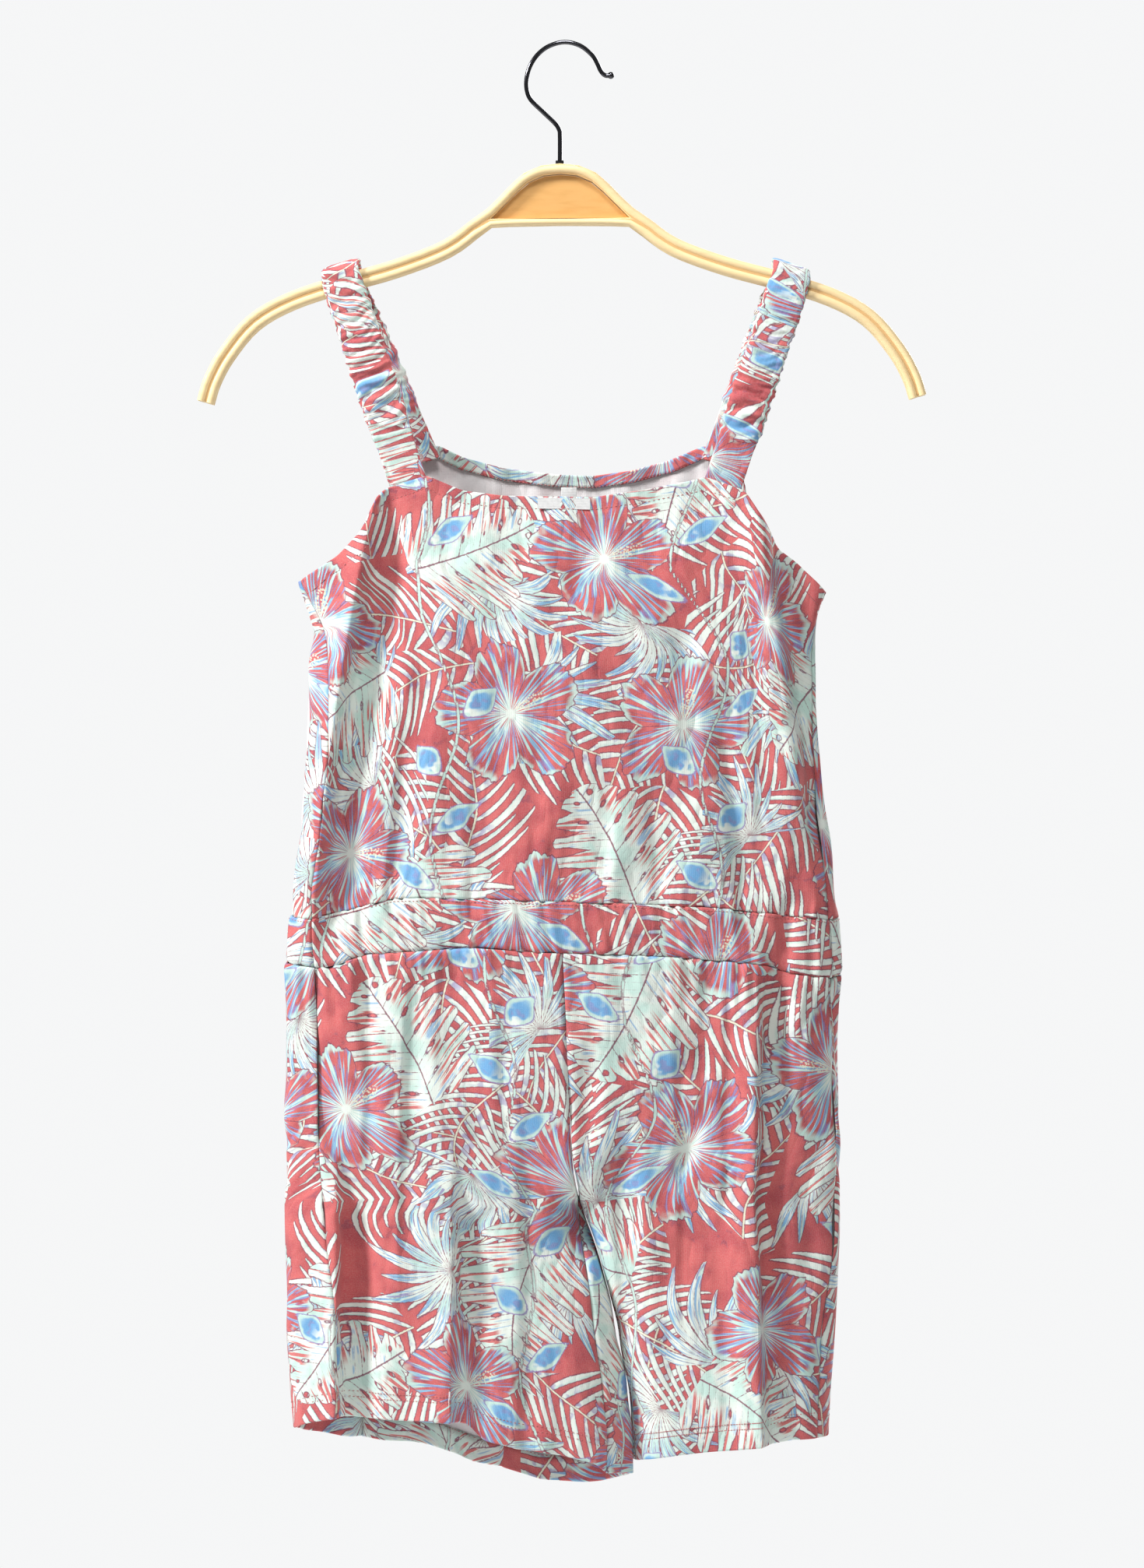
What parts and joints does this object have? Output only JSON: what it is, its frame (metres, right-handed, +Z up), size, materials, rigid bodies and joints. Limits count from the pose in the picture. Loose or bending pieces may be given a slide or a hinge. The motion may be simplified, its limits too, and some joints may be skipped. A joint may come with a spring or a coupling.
{
  "type": "romper on a hanger",
  "caption": "Sleeveless romper with gathered straps, elastic waist and short legs, hanging empty on a moulded clothes hanger with a wire hook.",
  "frame": {"origin": "the top of the hook's inside, where a rail or peg carries the hanger", "axes": "+Z up, -Y is the garment's front, +X to the viewer's right seen from the front"},
  "size_m": [0.3974, 0.0567, 0.7903],
  "materials": {
    "printed_cloth": "matt jersey with an all-over leaf and flower print on a coral ground",
    "label_cloth": "plain white woven tape",
    "hanger_plastic": "honey coloured moulding, soft sheen",
    "panel_plastic": "darker orange brown, matt",
    "hook_metal": "dark bright plated wire"
  },
  "bodies": {
    "root": {"bodice_front": "printed_cloth", "bodice_back": "printed_cloth", "waistband_front": "printed_cloth", "waistband_back": "printed_cloth", "leg_front_left": "printed_cloth", "leg_front_right": "printed_cloth", "leg_back_left": "printed_cloth", "leg_back_right": "printed_cloth", "strap_left": "printed_cloth", "strap_right": "printed_cloth", "neck_label": "label_cloth", "hanger_body": "hanger_plastic", "hanger_panel": "panel_plastic", "hanger_hook": "hook_metal"}
  },
  "joints": []
}
